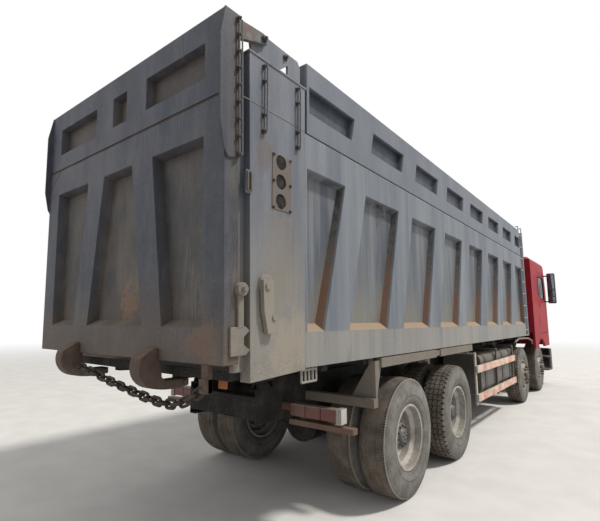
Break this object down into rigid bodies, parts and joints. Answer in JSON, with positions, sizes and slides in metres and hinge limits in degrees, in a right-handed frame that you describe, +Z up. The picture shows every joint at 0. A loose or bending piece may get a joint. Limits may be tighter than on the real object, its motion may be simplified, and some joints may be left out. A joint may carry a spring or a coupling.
{
  "type": "dump truck",
  "caption": "Four-axle rear-tipping dump truck with a long ribbed steel body, extension boards, top-hinged tailgate, front hoist and tilting cab.",
  "frame": {"origin": "on the ground under the middle of the overall length and width", "axes": "-Y is forwards, +X is the truck's left, +Z is up"},
  "size_m": [3, 11.6081, 3.677],
  "materials": {
    "body_paint": "weathered dark blue-grey paint under brown dust",
    "cab_paint": "red gloss paint",
    "chassis_steel": "dark dusty chassis paint with rust",
    "spring_steel": "dull dark steel",
    "cast_metal": "rough casting",
    "bare_aluminium": "satin, dusty",
    "tank_paint": "satin",
    "guard_paint": "faded red",
    "lamp_plastic": "dusty red lens plastic",
    "window_glass": "tinted",
    "dark_plastic": "matt black",
    "hoist_paint": "satin",
    "bright_steel": "polished",
    "tyre_rubber": "worn, dusty",
    "rim_steel": "silver-grey, dusty"
  },
  "bodies": {
    "chassis": {"chassis_frame": "chassis_steel", "cross_members": "chassis_steel", "frame_brackets": "chassis_steel", "steer_axles": "chassis_steel", "drive_axles": "chassis_steel", "leaf_springs": "spring_steel", "engine_block": "cast_metal", "fuel_tank": "bare_aluminium", "left_tanks": "tank_paint", "side_guards": "guard_paint", "fenders": "chassis_steel", "tail_lamps": "lamp_plastic", "bumper": "cab_paint"},
    "load_body": {"body_floor": "body_paint", "body_sides": "body_paint", "side_boards": "body_paint", "front_wall": "body_paint", "rear_posts": "body_paint", "ladder": "body_paint"},
    "tailgate": {"tailgate": "body_paint", "tailgate_board": "body_paint", "tailgate_arms": "body_paint", "tailgate_hooks": "chassis_steel"},
    "cab": {"cab_shell": "cab_paint", "cab_glass": "window_glass", "cab_trim": "dark_plastic", "cab_interior": "dark_plastic"},
    "hoist_barrel": {"hoist_barrel": "hoist_paint"},
    "hoist_stage_1": {"hoist_stage_1": "bright_steel"},
    "hoist_stage_2": {"hoist_stage_2": "bright_steel"},
    "hoist_stage_3": {"hoist_stage_3": "bright_steel"},
    "hoist_stage_4": {"hoist_stage_4": "bright_steel"},
    "door_left": {"door_left": "cab_paint", "door_glass_left": "window_glass", "mirror_left": "dark_plastic"},
    "door_right": {"door_right": "cab_paint", "door_glass_right": "window_glass", "mirror_right": "dark_plastic"},
    "knuckle_1_left": {"knuckle_1_left": "chassis_steel"},
    "wheel_1_left": {"tyre_1_left": "tyre_rubber", "rim_1_left": "rim_steel"},
    "knuckle_1_right": {"knuckle_1_right": "chassis_steel"},
    "wheel_1_right": {"tyre_1_right": "tyre_rubber", "rim_1_right": "rim_steel"},
    "tie_rod_1": {"tie_rod_1": "chassis_steel"},
    "knuckle_2_left": {"knuckle_2_left": "chassis_steel"},
    "wheel_2_left": {"tyre_2_left": "tyre_rubber", "rim_2_left": "rim_steel"},
    "knuckle_2_right": {"knuckle_2_right": "chassis_steel"},
    "wheel_2_right": {"tyre_2_right": "tyre_rubber", "rim_2_right": "rim_steel"},
    "tie_rod_2": {"tie_rod_2": "chassis_steel"},
    "wheel_3_left": {"tyre_3_left": "tyre_rubber", "rim_3_left": "rim_steel"},
    "wheel_3_right": {"tyre_3_right": "tyre_rubber", "rim_3_right": "rim_steel"},
    "wheel_4_left": {"tyre_4_left": "tyre_rubber", "rim_4_left": "rim_steel"},
    "wheel_4_right": {"tyre_4_right": "tyre_rubber", "rim_4_right": "rim_steel"}
  },
  "joints": [
    {"name": "tip_bed", "type": "hinge", "parent": "chassis", "child": "load_body", "pos_m": [0, 4.53, 1.11], "axis": [-1, 0, 0], "range_deg": [0, 45]},
    {"name": "open_tailgate", "type": "hinge", "parent": "load_body", "child": "tailgate", "pos_m": [0, 5.394, 3.49], "axis": [1, 0, 0], "range_deg": [0, 60]},
    {"name": "swing_hoist", "type": "hinge", "parent": "chassis", "child": "hoist_barrel", "pos_m": [0, -3.44, 1.01], "axis": [-1, 0, 0], "range_deg": [0, 24]},
    {"name": "extend_stage_1", "type": "slide", "parent": "hoist_barrel", "child": "hoist_stage_1", "axis": [0, 0.1045, 0.9945], "range_m": [0, 1.5]},
    {"name": "extend_stage_2", "type": "slide", "parent": "hoist_stage_1", "child": "hoist_stage_2", "axis": [0, 0.1045, 0.9945], "range_m": [0, 1.5]},
    {"name": "extend_stage_3", "type": "slide", "parent": "hoist_stage_2", "child": "hoist_stage_3", "axis": [0, 0.1045, 0.9945], "range_m": [0, 1.5]},
    {"name": "extend_stage_4", "type": "slide", "parent": "hoist_stage_3", "child": "hoist_stage_4", "axis": [0, 0.1045, 0.9945], "range_m": [0, 1.5]},
    {"name": "tilt_cab", "type": "hinge", "parent": "chassis", "child": "cab", "pos_m": [0, -5.56, 0.99], "axis": [1, 0, 0], "range_deg": [0, 50]},
    {"name": "open_door_left", "type": "hinge", "parent": "cab", "child": "door_left", "pos_m": [1.23, -5.344, 2], "axis": [0, 0, -1], "range_deg": [0, 70]},
    {"name": "open_door_right", "type": "hinge", "parent": "cab", "child": "door_right", "pos_m": [-1.23, -5.344, 2], "axis": [0, 0, 1], "range_deg": [0, 70]},
    {"name": "steer_1_left", "type": "hinge", "parent": "chassis", "child": "knuckle_1_left", "pos_m": [0.88, -4.32, 0.5425], "axis": [0, 0, 1], "range_deg": [-35, 35]},
    {"name": "spin_1_left", "type": "hinge", "parent": "knuckle_1_left", "child": "wheel_1_left", "pos_m": [1.02, -4.32, 0.5425], "axis": [1, 0, 0], "continuous": true},
    {"name": "steer_1_right", "type": "hinge", "parent": "chassis", "child": "knuckle_1_right", "pos_m": [-0.88, -4.32, 0.5425], "axis": [0, 0, 1], "range_deg": [-35, 35]},
    {"name": "spin_1_right", "type": "hinge", "parent": "knuckle_1_right", "child": "wheel_1_right", "pos_m": [-1.02, -4.32, 0.5425], "axis": [1, 0, 0], "continuous": true},
    {"name": "swing_tie_rod_1", "type": "hinge", "parent": "knuckle_1_left", "child": "tie_rod_1", "pos_m": [0.88, -4.15, 0.4425], "axis": [0, 0, 1], "range_deg": [-35, 35]},
    {"name": "steer_2_left", "type": "hinge", "parent": "chassis", "child": "knuckle_2_left", "pos_m": [0.88, -2.46, 0.5425], "axis": [0, 0, 1], "range_deg": [-24.5, 24.5]},
    {"name": "spin_2_left", "type": "hinge", "parent": "knuckle_2_left", "child": "wheel_2_left", "pos_m": [1.02, -2.46, 0.5425], "axis": [1, 0, 0], "continuous": true},
    {"name": "steer_2_right", "type": "hinge", "parent": "chassis", "child": "knuckle_2_right", "pos_m": [-0.88, -2.46, 0.5425], "axis": [0, 0, 1], "range_deg": [-24.5, 24.5]},
    {"name": "spin_2_right", "type": "hinge", "parent": "knuckle_2_right", "child": "wheel_2_right", "pos_m": [-1.02, -2.46, 0.5425], "axis": [1, 0, 0], "continuous": true},
    {"name": "swing_tie_rod_2", "type": "hinge", "parent": "knuckle_2_left", "child": "tie_rod_2", "pos_m": [0.88, -2.29, 0.4425], "axis": [0, 0, 1], "range_deg": [-24.5, 24.5]},
    {"name": "spin_3_left", "type": "hinge", "parent": "chassis", "child": "wheel_3_left", "pos_m": [0.935, 1.93, 0.5425], "axis": [1, 0, 0], "continuous": true},
    {"name": "spin_3_right", "type": "hinge", "parent": "chassis", "child": "wheel_3_right", "pos_m": [-0.935, 1.93, 0.5425], "axis": [1, 0, 0], "continuous": true},
    {"name": "spin_4_left", "type": "hinge", "parent": "chassis", "child": "wheel_4_left", "pos_m": [0.935, 3.35, 0.5425], "axis": [1, 0, 0], "continuous": true},
    {"name": "spin_4_right", "type": "hinge", "parent": "chassis", "child": "wheel_4_right", "pos_m": [-0.935, 3.35, 0.5425], "axis": [1, 0, 0], "continuous": true}
  ],
  "couplings": [
    {"joint": "swing_hoist", "follows": "tip_bed", "ratio": 0.509},
    {"joint": "extend_stage_1", "follows": "tip_bed", "m_per_rad": 1.8794},
    {"joint": "extend_stage_2", "follows": "tip_bed", "m_per_rad": 1.8794},
    {"joint": "extend_stage_3", "follows": "tip_bed", "m_per_rad": 1.8794},
    {"joint": "extend_stage_4", "follows": "tip_bed", "m_per_rad": 1.8794},
    {"joint": "steer_1_right", "follows": "steer_1_left", "ratio": 1},
    {"joint": "swing_tie_rod_1", "follows": "steer_1_left", "ratio": -1},
    {"joint": "steer_2_left", "follows": "steer_1_left", "ratio": 0.7},
    {"joint": "steer_2_right", "follows": "steer_1_left", "ratio": 0.7},
    {"joint": "swing_tie_rod_2", "follows": "steer_1_left", "ratio": -0.7}
  ]
}
